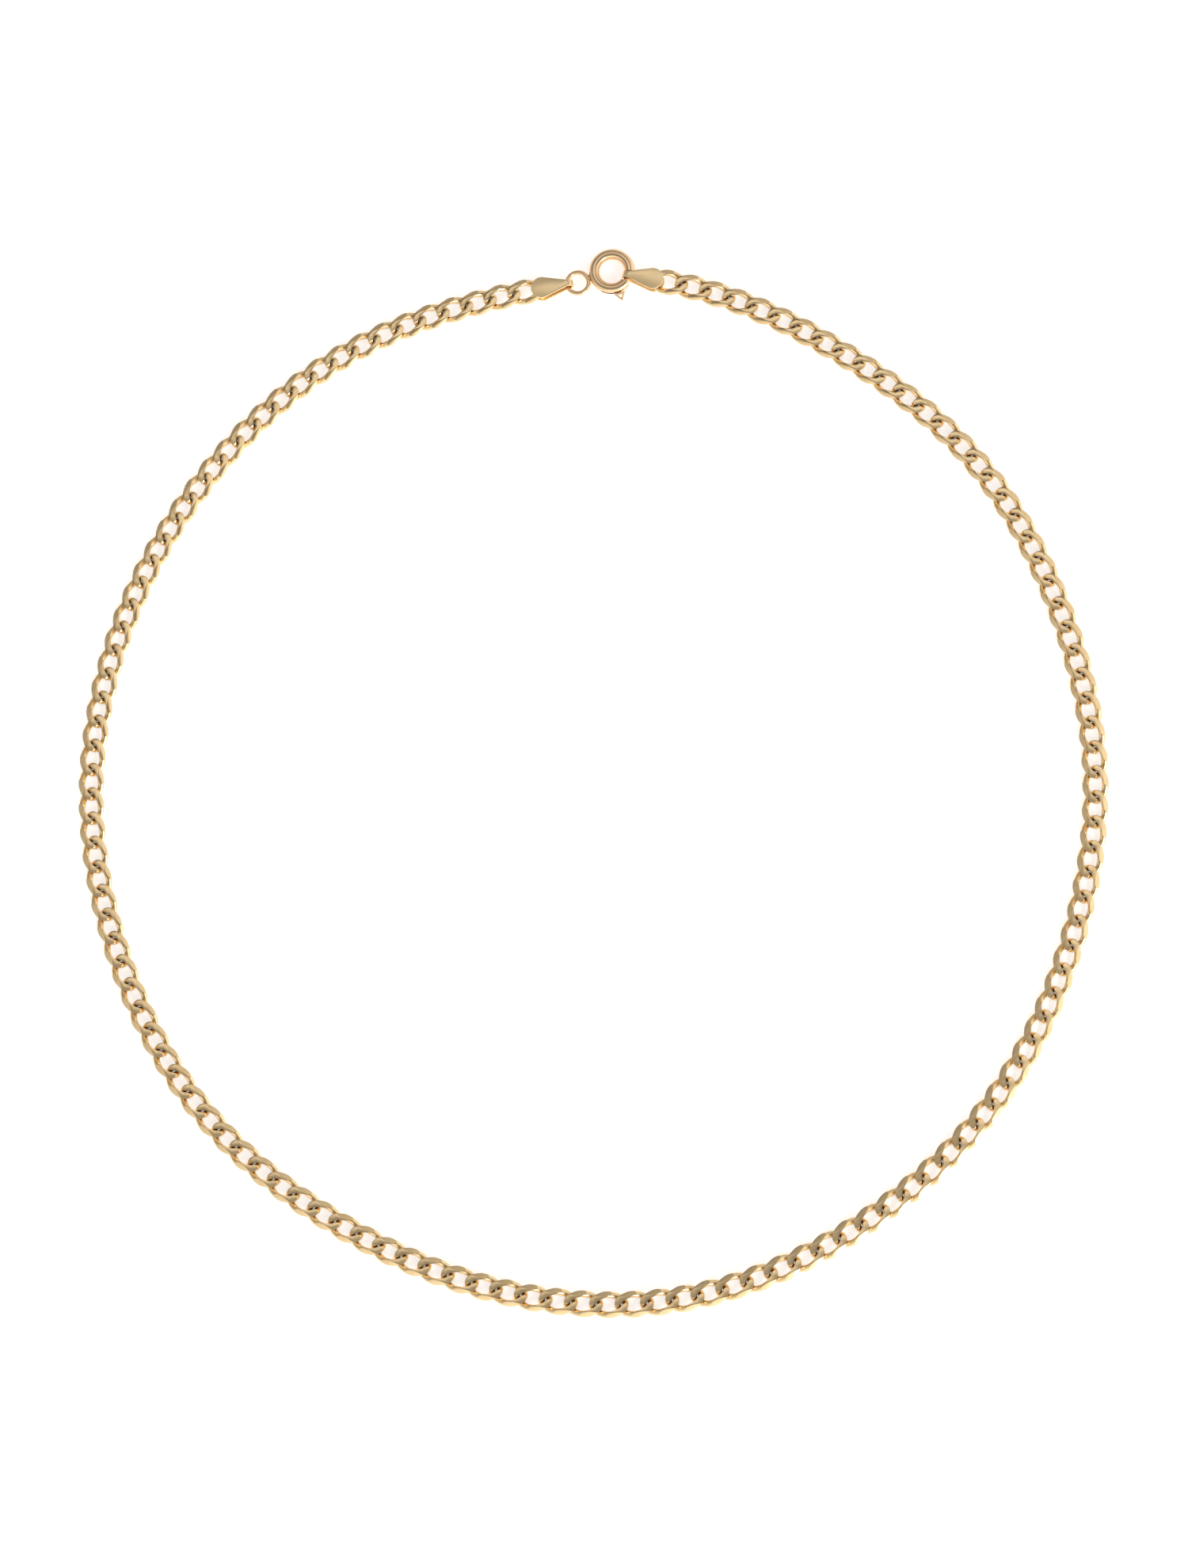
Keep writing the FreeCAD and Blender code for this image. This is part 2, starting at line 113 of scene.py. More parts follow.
class ClaspSettings(bpy.types.PropertyGroup):
    """Sizes of the spring-ring clasp, in millimetres."""
    ring: FloatProperty(name="Ring", description="Outer diameter of the ring, in mm", default=6.0)
    tube: FloatProperty(name="Tube", description="Outer diameter of the tube, in mm", default=1.40)
    wall: FloatProperty(name="Wall", description="Thickness of the tube's wall, in mm", default=0.20)
    mouth_start: FloatProperty(
        name="Mouth start", description="Where the mouth begins", default=math.radians(-41), subtype="ANGLE")
    mouth_end: FloatProperty(
        name="Mouth end", description="Where the mouth ends", default=math.radians(-2), subtype="ANGLE")
    bolt: FloatProperty(name="Bolt", description="Diameter of the sliding bolt, in mm", default=0.80)
    bolt_tail: FloatProperty(
        name="Bolt tail", description="Where the bolt begins", default=math.radians(-85), subtype="ANGLE")
    bolt_tip: FloatProperty(
        name="Bolt tip", description="Where the bolt's nose begins", default=math.radians(7), subtype="ANGLE")
    pin_angle: FloatProperty(
        name="Pin angle", description="Where the thumb pin stands", default=math.radians(-71),
        subtype="ANGLE")
    pin_width: FloatProperty(name="Pin width", description="Width of the pin's loop, in mm", default=1.50)
    pin_reach: FloatProperty(
        name="Pin reach", description="From the ring's middle to the pin's point, in mm", default=4.25)
    pin_thickness: FloatProperty(name="Pin thickness", description="Height of the pin, in mm", default=0.50)
    pin_wall: FloatProperty(name="Pin wall", description="Width of the pin's strip, in mm", default=0.24)
    pin_stem: FloatProperty(name="Pin stem", description="Diameter of the pin's stem, in mm", default=0.24)
    catch: FloatProperty(
        name="Catch", description="Where the right tag hangs on the bolt", default=math.radians(-17.5),
        subtype="ANGLE")
    bolt_travel: FloatProperty(
        name="Bolt travel", description="How far the bolt slides", default=math.radians(42), subtype="ANGLE")
    clearance: FloatProperty(name="Clearance", description="Gap round the stem, in mm", default=0.08)
    spring_wire: FloatProperty(
        name="Spring wire", description="Thickness of the spring wire, in mm", default=0.12)
    spring_coils: IntProperty(name="Spring coils", description="Turns of the spring", default=13)
    spring_span: FloatProperty(
        name="Spring span", description="Arc that the spring fills", default=math.radians(98),
        subtype="ANGLE")
    stop_span: FloatProperty(
        name="Stop span", description="Arc of the plug behind the spring", default=math.radians(8),
        subtype="ANGLE")
    eye: FloatProperty(name="Eye", description="Outer diameter of the eye, in mm", default=3.4)
    eye_wire: FloatProperty(name="Eye wire", description="Thickness of the eye's wire, in mm", default=0.60)
    eye_angle: FloatProperty(
        name="Eye angle", description="Where the eye is soldered on", default=math.radians(197.5),
        subtype="ANGLE")
    solder: FloatProperty(name="Solder", description="Depth of the soldered joint, in mm", default=0.06)


class TagSettings(bpy.types.PropertyGroup):
    """Sizes of the folded end tags, in millimetres."""
    length: FloatProperty(name="Length", description="From the fold to the round end, in mm", default=5.50)
    round_radius: FloatProperty(
        name="Round radius", description="Radius of the round end, in mm", default=1.38)
    neck: FloatProperty(name="Neck", description="Width at the fold, in mm", default=0.86)
    sheet: FloatProperty(name="Sheet", description="Thickness of the strip, in mm", default=0.25)
    height: FloatProperty(name="Height", description="Over both leaves, in mm", default=1.69)
    edge_softness: FloatProperty(
        name="Edge softness", description="Rounding of the strip's edges, in mm", default=0.07)
    post: FloatProperty(name="Post", description="Diameter of the post, in mm", default=0.60)
    post_inset: FloatProperty(
        name="Post inset", description="From the round end's tip to the post, in mm", default=0.55)


class GoldSettings(bpy.types.PropertyGroup):
    """Colours of the metals."""
    chain: FloatVectorProperty(
        name="Chain gold", description="Colour of the links and tags", subtype="COLOR", size=3,
        default=(0.92, 0.685, 0.38))
    chain_shade: FloatVectorProperty(
        name="Chain shade", description="Slightly deeper colour in patches", subtype="COLOR", size=3,
        default=(0.82, 0.565, 0.285))
    clasp: FloatVectorProperty(
        name="Clasp gold", description="Rosier colour of the clasp", subtype="COLOR", size=3,
        default=(0.90, 0.62, 0.36))
    steel: FloatVectorProperty(
        name="Spring steel", description="Colour of the spring", subtype="COLOR", size=3,
        default=(0.55, 0.55, 0.57))


class StageSettings(bpy.types.PropertyGroup):
    """The table, the lights and the camera."""
    floor: FloatProperty(
        name="Floor", description="Width of the pale floor", default=1.6, unit="LENGTH", subtype="DISTANCE")
    camera_distance: FloatProperty(
        name="Camera distance", description="From the chain's middle to the camera", default=0.5995,
        unit="LENGTH", subtype="DISTANCE")
    lean_right: FloatProperty(
        name="Lean right", description="How far the camera leans right", default=math.radians(6.06),
        subtype="ANGLE")
    lean_front: FloatProperty(
        name="Lean to the front", description="How far the camera leans to the front",
        default=math.radians(10.79), subtype="ANGLE")
    aim_right: FloatProperty(
        name="Aim right", description="From the loop's middle to what the camera looks at, to the right",
        default=0.000744, unit="LENGTH", subtype="DISTANCE")
    aim_front: FloatProperty(
        name="Aim front", description="From the loop's middle to what the camera looks at, to the front",
        default=0.001347, unit="LENGTH", subtype="DISTANCE")
    lens: FloatProperty(name="Lens", description="Focal length of the camera, in mm", default=144.0)


SETTINGS = {
    "necklace_chain": ChainSettings,
    "necklace_clasp": ClaspSettings,
    "necklace_tags": TagSettings,
    "necklace_gold": GoldSettings,
    "necklace_stage": StageSettings,
}


# ---- selecting and finishing meshes --------------------------------------------------------------
def clear_selection():
    if bpy.context.object and bpy.context.object.mode != "OBJECT":
        bpy.ops.object.mode_set(mode="OBJECT")
    bpy.ops.object.select_all(action="DESELECT")


def choose(piece):
    """Makes a piece the only selected and active one."""
    clear_selection()
    piece.select_set(True)
    bpy.context.view_layer.objects.active = piece
    return piece


def edit(piece):
    choose(piece)
    bpy.ops.object.mode_set(mode="EDIT")
    bpy.ops.mesh.select_all(action="SELECT")


def leave_edit():
    bpy.ops.object.mode_set(mode="OBJECT")


def to_mesh(piece):
    choose(piece)
    bpy.ops.object.convert(target="MESH")
    return bpy.context.object


def moved(piece, matrix):
    """Puts a piece in place and writes the place into its mesh."""
    choose(piece)
    piece.matrix_world = matrix @ piece.matrix_world
    bpy.ops.object.transform_apply(location=True, rotation=True, scale=True)
    return piece


def tidy_mesh(piece, merge=1e-4):
    """Joins doubled points and turns every face outwards."""
    edit(piece)
    bpy.ops.mesh.remove_doubles(threshold=merge)
    bpy.ops.mesh.normals_make_consistent(inside=False)
    leave_edit()


def with_modifier(piece, kind, **settings):
    choose(piece)
    modifier = piece.modifiers.new(kind.lower(), kind)
    for name, value in settings.items():
        setattr(modifier, name, value)
    bpy.ops.object.modifier_apply(modifier=modifier.name)


def smooth(piece, degrees=32.0):
    choose(piece)
    bpy.ops.object.shade_smooth_by_angle(angle=math.radians(degrees))


def select_edges(piece, wanted):
    """Selects the edges that a test names, in object mode, then enters edit mode."""
    choose(piece)
    bpy.ops.object.mode_set(mode="EDIT")
    bpy.ops.mesh.select_all(action="DESELECT")
    bpy.ops.mesh.select_mode(type="EDGE")
    bpy.ops.object.mode_set(mode="OBJECT")
    points = piece.data.vertices
    for line in piece.data.edges:
        line.select = wanted(points[line.vertices[0]].co, points[line.vertices[1]].co)
    bpy.ops.object.mode_set(mode="EDIT")


def joined(pieces, name):
    clear_selection()
    for piece in pieces:
        piece.select_set(True)
    bpy.context.view_layer.objects.active = pieces[0]
    if len(pieces) > 1:
        bpy.ops.object.join()
    whole = bpy.context.object
    whole.name = name
    whole.data.name = name
    return whole


def named(piece, name):
    piece.name = name
    piece.data.name = name
    return piece


def hand_over(piece, body, node, metal):
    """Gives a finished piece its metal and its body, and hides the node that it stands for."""
    piece.data.materials.clear()
    piece.data.materials.append(metal)
    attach(piece, body)
    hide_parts(node)


def curve_piece(points, radius, closed, resolution=3, smooth_line=True):
    """A round bar along a line of points."""
    bpy.ops.curve.primitive_bezier_curve_add(location=(0, 0, 0))
    piece = bpy.context.object
    shape = piece.data
    shape.splines.clear()
    line = shape.splines.new("POLY")
    line.points.add(len(points) - 1)
    for place, point in zip(line.points, points):
        place.co = (*point, 1.0)
    line.use_cyclic_u = closed
    line.use_smooth = smooth_line
    shape.dimensions = "3D"
    shape.bevel_depth = radius
    shape.bevel_resolution = resolution
    shape.use_fill_caps = not closed
    return to_mesh(piece)


def flat_piece(outline, height):
    """A plate: a closed outline filled and raised to a height."""
    bpy.ops.curve.primitive_bezier_curve_add(location=(0, 0, 0))
    piece = bpy.context.object
    shape = piece.data
    shape.splines.clear()
    shape.dimensions = "2D"
    line = shape.splines.new("POLY")
    line.points.add(len(outline) - 1)
    for place, (x, y) in zip(line.points, outline):
        place.co = (x, y, 0.0, 1.0)
    line.use_cyclic_u = True
    shape.fill_mode = "BOTH"
    shape.extrude = height / 2
    plate = to_mesh(piece)
    tidy_mesh(plate)
    return plate


def polar(radius, turn, height=0.0):
    return Vector((radius * math.cos(turn), radius * math.sin(turn), height))


def arc(radius, start, end, steps, height=0.0):
    """Points along an arc round the vertical axis."""
    return [polar(radius, start + (end - start) * step / steps, height) for step in range(steps + 1)]


# ---- metals --------------------------------------------------------------------------------------
class Wire:
    """A socket that adds Math nodes when it is used in a sum."""

    def __init__(self, recipe, socket):
        self.recipe = recipe
        self.socket = socket

    def math(self, operation, *others):
        return self.recipe.node("ShaderNodeMath", {"operation": operation},
                                {index: value for index, value in enumerate((self,) + others)})

    def __add__(self, other):
        return self.math("ADD", other)

    __radd__ = __add__

    def __mul__(self, other):
        return self.math("MULTIPLY", other)

    __rmul__ = __mul__

    def __sub__(self, other):
        return self.math("SUBTRACT", other)

    def __rsub__(self, other):
        return (self * -1.0) + other

    def __pow__(self, other):
        return self.math("POWER", other)

    def between(self, low, high):
        """0 at low and 1 at high."""
        return self.recipe.node("ShaderNodeMapRange", {"interpolation_type": "SMOOTHSTEP"},
                               {"Value": self, "From Min": low, "From Max": high})


class Recipe:
    """A tree of shader nodes."""

    def __init__(self, owner):
        owner.use_nodes = True
        self.tree = owner.node_tree
        self.tree.nodes.clear()

    def node(self, kind, settings, sockets, output=0):
        """Adds a node: its settings first, then the values or links of its sockets."""
        node = self.tree.nodes.new(kind)
        for name, value in settings.items():
            setattr(node, name, value)
        for key, value in sockets.items():
            socket = node.inputs[key]
            if isinstance(value, Wire):
                self.tree.links.new(value.socket, socket)
            else:
                socket.default_value = value
        return Wire(self, node.outputs[output])

    def mix(self, amount, first, second):
        """Mixes two colours."""
        kinds = {"data_type": "RGBA"}
        return self.node("ShaderNodeMix", kinds, {"Factor": amount, 6: first, 7: second}, output=2)

    def give(self, shader, kind):
        output = self.tree.nodes.new(kind)
        self.tree.links.new(shader.socket, output.inputs["Surface"])


class Metal(Recipe):
    """One procedural material."""

    def __init__(self, name):
        self.material = bpy.data.materials.new(name)
        super().__init__(self.material)
        self.place = self.node("ShaderNodeTexCoord", {}, {}, output="Object")

    def stretched(self, scale, turn=(0.0, 0.0, 0.0)):
        return self.node("ShaderNodeMapping", {}, {"Vector": self.place, "Scale": scale, "Rotation": turn})

    def noise(self, scale, detail=3.0, roughness=0.55, vector=None, distortion=0.0):
        return self.node("ShaderNodeTexNoise", {}, {
            "Vector": vector or self.place, "Scale": scale, "Detail": detail, "Roughness": roughness,
            "Distortion": distortion})

    def bump(self, height, strength, distance, under=None):
        sockets = {"Height": height, "Strength": strength, "Distance": distance}
        if under is not None:
            sockets["Normal"] = under
        return self.node("ShaderNodeBump", {}, sockets)

    def finish(self, colour, roughness, normal, **constants):
        shader = self.node("ShaderNodeBsdfPrincipled", {}, {
            "Base Color": colour, "Roughness": roughness, "Normal": normal, "Metallic": 1.0, **constants})
        self.give(shader, "ShaderNodeOutputMaterial")
        return self.material


def rgba(colour, gain=1.0):
    return (*[min(1.0, channel * gain) for channel in colour], 1.0)


def painted_crossing_shadow(metal):
    """Painted shadow: 1 where a link comes closest to its neighbour's wire, 0 away from it, plus painted
    shade on the low inner sides.
    """
    size = bpy.context.scene.necklace_chain
    spot = metal.node("ShaderNodeAttribute", {"attribute_name": "link_place"}, {}, output="Vector")
    parts = metal.node("ShaderNodeSeparateXYZ", {}, {"Vector": spot}).socket.node
    along, across, up = (Wire(metal, parts.outputs[index]) for index in range(3))
    leaning = across * along.math("SIGN")
    aside = (up - leaning) * math.sin(size.twist)
    outwards = (up + leaning) * math.sin(size.twist)
    neighbour = 2 * size.crossing - size.half_length
    ahead = along.math("ABSOLUTE") - outwards * outwards * 0.6 - neighbour
    gap = (ahead * ahead + aside * aside).math("SQRT", 0.0) - size.wire / 2
    inner_side = (size.half_width - across.math("ABSOLUTE")).between(-0.05, 0.42)
    # painted shadow near the neighbour's wire, plus painted shade on the lower inner sides
    return gap.between(0.46, 0.04) + up.between(0.20, -0.40) * inner_side * 0.45


def polished_gold(name, colour, shade, roughness, scratches, dents, crossing_shadows=False):
    """Polished gold: patches of deeper colour, fine polishing scratches, soft dents and smears, and
    optionally painted shadow where links cross.
    """
    metal = Metal(name)
    patches = metal.noise(700.0, detail=2.0).between(0.35, 0.70)
    fine = metal.noise(5200.0, detail=3.0)
    colour_now = metal.mix(patches * 0.55 + fine * 0.25, rgba(colour), rgba(shade))
    # Painted shadow: darkens the colour towards deep brown where links cross and on their low inner sides.
    if crossing_shadows:
        painted_shadow_amount = (painted_crossing_shadow(metal) * 0.9).math("MINIMUM", 0.94)
        colour_now = metal.mix(painted_shadow_amount, colour_now, rgba(PAINTED_SHADOW_BROWN))
    leaning = metal.stretched((18000.0, 1400.0, 6000.0), (0.0, 0.0, 0.6))
    crossing = metal.stretched((1600.0, 21000.0, 6000.0), (0.0, 0.0, 0.35))
    one_way = metal.noise(1.0, vector=leaning, detail=2.0)
    other_way = metal.noise(1.0, vector=crossing, detail=2.0)
    lines = one_way * 0.5 + other_way * 0.5
    smears = metal.noise(260.0, detail=4.0, distortion=0.6)
    gloss = smears * 0.16 + lines * 0.10 + (roughness - 0.13)
    soft = metal.bump(metal.noise(420.0, detail=1.0), dents, 0.00010)
    normal = metal.bump(lines, scratches, 0.000012, under=soft)
    return metal.finish(colour_now, gloss, normal)


def spring_steel(name, colour):
    """Drawn spring wire: grey with fine lines and a dull bloom."""
    metal = Metal(name)
    bloom = metal.noise(900.0, detail=3.0)
    tint = metal.mix(bloom.between(0.3, 0.7), rgba(colour), rgba(colour, 0.62))
    lines = metal.noise(1.0, vector=metal.stretched((9000.0, 9000.0, 1500.0)), detail=2.0)
    return metal.finish(tint, bloom * 0.2 + 0.25, metal.bump(lines, 0.3, 0.00001))


def make_metals():
    gold = bpy.context.scene.necklace_gold
    return {
        # the chain's gold has painted shadow where links cross
        "chain_gold": polished_gold("chain_gold_polished", gold.chain, gold.chain_shade, 0.20, 0.12, 0.55,
                                    crossing_shadows=True),
        "tag_gold": polished_gold("tag_gold_polished",
                                  [channel * 1.04 for channel in gold.chain], gold.chain,
                                  0.30, 0.12, 0.22),
        "clasp_gold": polished_gold("clasp_gold_polished", gold.clasp,
                                    [channel * 0.86 for channel in gold.clasp], 0.17, 0.10, 0.10),
        "spring_steel": spring_steel("spring_steel_drawn", gold.steel),
    }


def metal_of(name):
    """A metal by its slot, made on first use."""
    found = bpy.data.materials.get({
        "chain_gold": "chain_gold_polished", "tag_gold": "tag_gold_polished",
        "clasp_gold": "clasp_gold_polished", "spring_steel": "spring_steel_drawn"}[name])
    return found or make_metals()[name]


# ---- chain links ---------------------------------------------------------------------------------
def signed_power(value, power):
    return math.copysign(abs(value) ** power, value)


def link_middle_line(size, turn):
    """A squarish oval that rolls about X towards each end, in millimetres."""
    along = signed_power(math.cos(turn), size.squareness)
    across = size.half_width * signed_power(math.sin(turn), size.squareness)
    roll = -size.twist * along
    return Vector((size.half_length * along, across * math.cos(roll), across * math.sin(roll)))


def cut_flat(piece, point, normal):
    """Cuts away what lies beyond a plane and closes the cut."""
    edit(piece)
    bpy.ops.mesh.bisect(plane_co=point, plane_no=normal, use_fill=True, clear_outer=True, threshold=1e-5)
    leave_edit()


def link_station(size, turn):
    """Where the wire's section stands: its middle, and its X and Y turned with the roll."""
    small = 1e-4
    middle = link_middle_line(size, turn)
    tangent = (link_middle_line(size, turn + small) - link_middle_line(size, turn - small)).normalized()
    roll = -size.twist * middle.x / size.half_length
    side = Vector((0, -math.sin(roll), math.cos(roll))).cross(tangent).normalized()
    across = tangent.cross(side)
    return Matrix.Translation(middle) @ Matrix((side, across, tangent)).transposed().to_4x4()


def wire_section(size):
    """The wire's outline: a square with well rounded corners."""
    clear_selection()
    bpy.ops.mesh.primitive_plane_add(size=size.wire)
    section = bpy.context.object
    edit(section)
    bpy.ops.mesh.bevel(offset=size.corner * size.wire / 2, segments=4, affect="VERTICES")
    bpy.ops.mesh.delete(type="ONLY_FACE")
    leave_edit()
    return section


def bent_wire(size):
    """The closed wire: its section set at each station, and each one bridged to the next."""
    section = wire_section(size)
    sections = []
    for step in range(size.stations):
        copy = section.copy()
        copy.data = section.data.copy()
        bpy.context.collection.objects.link(copy)
        sections.append(moved(copy, link_station(size, 2 * math.pi * (step + 0.5) / size.stations)))
    bpy.data.objects.remove(section)
    wire = joined(sections, "link")
    edit(wire)
    bpy.ops.mesh.bridge_edge_loops(type="CLOSED")
    bpy.ops.mesh.normals_make_consistent(inside=False)
    leave_edit()
    return wire


def model_link(size):
    """One link at the origin, lying along X, in millimetres."""
    link = bent_wire(size)
    half = size.thickness / 2
    half_width = size.half_width + size.wire / 2
    crown = math.sin(size.crown)
    for up in (1, -1):
        for end in (1, -1):
            cut_flat(link, (0, 0, half * up), (crown * end, 0, up))
    for side in (1, -1):
        for up in (1, -1):
            edge = (0, (half_width - size.facet_run) * side, half * up)
            cut_flat(link, edge, (0, size.facet_rise * side, size.facet_run * up))
    soften_edges(link, size.edge_softness)
    spots = link.data.attributes.new("link_place", "FLOAT_VECTOR", "POINT").data
    for spot, vertex in zip(spots, link.data.vertices):
        spot.vector = vertex.co
    return link


def soften_edges(piece, width, degrees=24.0, segments=2):
    with_modifier(piece, "BEVEL", width=width, segments=segments, limit_method="ANGLE",
                  angle_limit=math.radians(degrees), use_clamp_overlap=True, harden_normals=False)


def link_islands(node):
    """The middle of each link in a CAD node."""
    copy = node.copy()
    copy.data = node.data.copy()
    bpy.context.collection.objects.link(copy)
    edit(copy)
    bpy.ops.mesh.remove_doubles(threshold=1e-7)
    bpy.ops.mesh.separate(type="LOOSE")
    leave_edit()
    middles = []
    for part in list(bpy.context.selected_objects):
        corners = [Vector(corner) for corner in part.bound_box]
        middles.append(sum(corners, Vector()) / len(corners))
        bpy.data.objects.remove(part)
    return middles


def in_order(middles, start):
    """Sorts points by walking from the one nearest the start."""
    left = list(middles)
    row = []
    here = start
    while left:
        here = min(left, key=lambda point: (point - here).length)
        left.remove(here)
        row.append(here)
    return row


def link_placements():
    """Every link's place, in metres, read from the frame, with its node's name."""
    here = Vector(JOINTS["left_post_hinge"]["pos_m"])
    start = here.copy()
    middles, nodes = [], []
    for name in LINK_NODES:
        row = in_order(link_islands(frame["nodes"][name]), here)
        middles += row
        nodes += [name] * len(row)
        here = row[-1]
    end = Vector(JOINTS["right_post_hinge"]["pos_m"])
    ends = [start] + middles + [end]
    places = []
    for index, middle in enumerate(middles):
        way = ends[index + 2] - ends[index]
        if index == 0:
            way = middles[0] - start
        elif index == len(middles) - 1:
            way = end - middles[-1]
        flat_way = Vector((way.x, way.y, 0.0)).normalized()
        drop = 0.0
        if 0 < index < len(middles) - 1:
            drop = (middles[index + 1].z - middles[index - 1].z) / way.length
        along = Vector((flat_way.x, flat_way.y, drop)).normalized()
        across = Vector((0, 0, 1)).cross(along).normalized()
        up = along.cross(across)
        turn = Matrix((along, across, up)).transposed().to_4x4()
        places.append((nodes[index], Matrix.Translation(middle) @ turn @ Matrix.Scale(MM, 4)))
    return places


class NECKLACE_OT_links(bpy.types.Operator):
    """Models one flattened curb link and lays a copy at every link of the chain"""
    bl_idname = "necklace.links"
    bl_label = "Chain links"

    def execute(self, context):
        size = context.scene.necklace_chain
        link = model_link(size)
        smooth(link, 30.0)
        groups = {}
        for node, place in link_placements():
            copy = link.copy()
            copy.data = link.data.copy()
            context.collection.objects.link(copy)
            groups.setdefault(node, []).append(moved(copy, place))
        bpy.data.objects.remove(link)
        for node, copies in groups.items():
            run = joined(copies, node + "_polished")
            hand_over(run, node, node, metal_of("chain_gold"))
        return {"FINISHED"}


# ---- spring-ring clasp ---------------------------------------------------------------------------
def ring_place():
    """The ring's middle on the table, with its sizes turned to metres."""
    middle = Vector(JOINTS["bolt_slide"]["pos_m"])
    return Matrix.Translation((middle.x, middle.y, 0.0)) @ Matrix.Scale(MM, 4)


def ring_radius(size):
    return (size.ring - size.tube) / 2


def bent_bar(size, radius, start, end, steps, sides=10):
    """A round bar bent round the ring's middle."""
    height = size.tube / 2
    return curve_piece(arc(ring_radius(size), start, end, steps, height), radius, closed=False,
                       resolution=sides)


def cut_out(piece, cutter):
    """Cuts one shape out of another and removes the cutter."""
    with_modifier(piece, "BOOLEAN", operation="DIFFERENCE", object=cutter, solver="EXACT")
    bpy.data.objects.remove(cutter)


def model_ring_tube(size):
    """A hollow tube bent into a ring, open at the mouth, with a slot for the thumb pin."""
    tube_radius = size.tube / 2
    bore_radius = tube_radius - size.wall
    start = size.mouth_end
    end = size.mouth_start + 2 * math.pi
    tube = bent_bar(size, tube_radius, start, end, RING_STEPS, sides=8)
    tidy_mesh(tube)
    round_tube_ends(tube, size)
    spare = math.radians(1.5)
    cut_out(tube, bent_bar(size, bore_radius, start - spare, end + spare, RING_STEPS, sides=8))
    half = size.pin_stem / 2 + size.clearance
    turn = half / ring_radius(size)
    low = size.pin_angle - size.bolt_travel - turn
    high = size.pin_angle + turn
    steps = 14
    outline = [polar(ring_radius(size), low + (high - low) * step / steps) for step in range(steps + 1)]
    outline += [polar(size.ring, high - (high - low) * step / steps) for step in range(steps + 1)]
    slot = flat_piece([(point.x, point.y) for point in outline], 2 * half)
    moved(slot, Matrix.Translation((0, 0, size.tube / 2)))
    cut_out(tube, slot)
    soften_edges(tube, 0.03, degrees=40.0, segments=2)
    return tube


def round_tube_ends(tube, size):
    """Rounds over the rim of each end of the closed bar."""
    ends = [polar(ring_radius(size), turn, size.tube / 2) for turn in (size.mouth_end, size.mouth_start)]

    def on_rim(first, second):
        near = any((first - end).length < size.tube * 0.52 and (second - end).length < size.tube * 0.52
                   for end in ends)
        if not near:
            return False
        return any(abs(edge_off(first, turn)) < 1e-3 and abs(edge_off(second, turn)) < 1e-3
                   for turn in (size.mouth_end, size.mouth_start))

    def edge_off(point, turn):
        return -point.x * math.sin(turn) + point.y * math.cos(turn)

    select_edges(tube, on_rim)
    bpy.ops.mesh.bevel(offset=0.12, segments=3, affect="EDGES", clamp_overlap=True)
    leave_edit()


def model_bolt(size):
    """The sliding bolt, with a rounded nose."""
    radius = size.bolt / 2
    bolt = bent_bar(size, radius, size.bolt_tail, size.bolt_tip, 30, sides=6)
    tidy_mesh(bolt)
    bpy.ops.mesh.primitive_uv_sphere_add(segments=28, ring_count=14, radius=radius,
                                         location=polar(ring_radius(size), size.bolt_tip, size.tube / 2))
    nose = bpy.context.object
    moved(nose, Matrix.Identity(4))
    with_modifier(bolt, "BOOLEAN", operation="UNION", object=nose, solver="EXACT")
    bpy.data.objects.remove(nose)
    return bolt


def triangle(base, half_width, tip):
    return [(base, -half_width), (tip, 0.0), (base, half_width)]


def model_thumb_pin(size):
    """A pointed loop outside the tube, on a stem that stands on the bolt."""
    base = size.ring / 2 + size.clearance
    slope = math.atan2(size.pin_width / 2, size.pin_reach - base)
    inner_tip = size.pin_reach - size.pin_wall / math.sin(slope)
    inner_half = (inner_tip - base - size.pin_wall) * math.tan(slope)
    loop = flat_piece(triangle(base, size.pin_width / 2, size.pin_reach), size.pin_thickness)
    hole = flat_piece(triangle(base + size.pin_wall, inner_half, inner_tip), size.pin_thickness * 1.5)
    cut_out(loop, hole)
    soften_edges(loop, 0.07, degrees=40.0, segments=3)
    foot = ring_radius(size) + size.bolt / 2 - 0.02
    head = base + size.pin_wall / 2
    stem_line = [Vector((foot, 0, 0)), Vector((head, 0, 0))]
    stem = curve_piece(stem_line, size.pin_stem / 2, closed=False, resolution=4)
    tidy_mesh(stem)
    pin = joined([loop, stem], "pin")
    turn = Matrix.Translation((0, 0, size.tube / 2)) @ Matrix.Rotation(size.pin_angle, 4, "Z")
    return moved(pin, turn)


def model_spring(size):
    """The coil in the bore, from the stop to the bolt's tail."""
    coil = size.tube / 2 - size.wall - size.clearance - size.spring_wire / 2
    stop = size.bolt_tail - size.spring_span
    gap = size.spring_wire / ring_radius(size)
    steps_per_coil = 12
    total = size.spring_coils * steps_per_coil
    points = []
    for step in range(total + 1):
        turn = 2 * math.pi * step / steps_per_coil
        where = stop + gap + (size.spring_span - 2 * gap) * step / total
        points.append(polar(ring_radius(size) + coil * math.cos(turn), where,
                            size.tube / 2 + coil * math.sin(turn)))
    spring = curve_piece(points, size.spring_wire / 2, closed=False, resolution=1)
    tidy_mesh(spring)
    return spring


def model_stop(size):
    """The plug that the spring pushes against."""
    stop = size.bolt_tail - size.spring_span
    radius = size.tube / 2 - size.wall - 0.005
    plug = bent_bar(size, radius, stop - size.stop_span, stop, 6, sides=5)
    tidy_mesh(plug)
    soften_edges(plug, 0.04, degrees=50.0)
    return plug


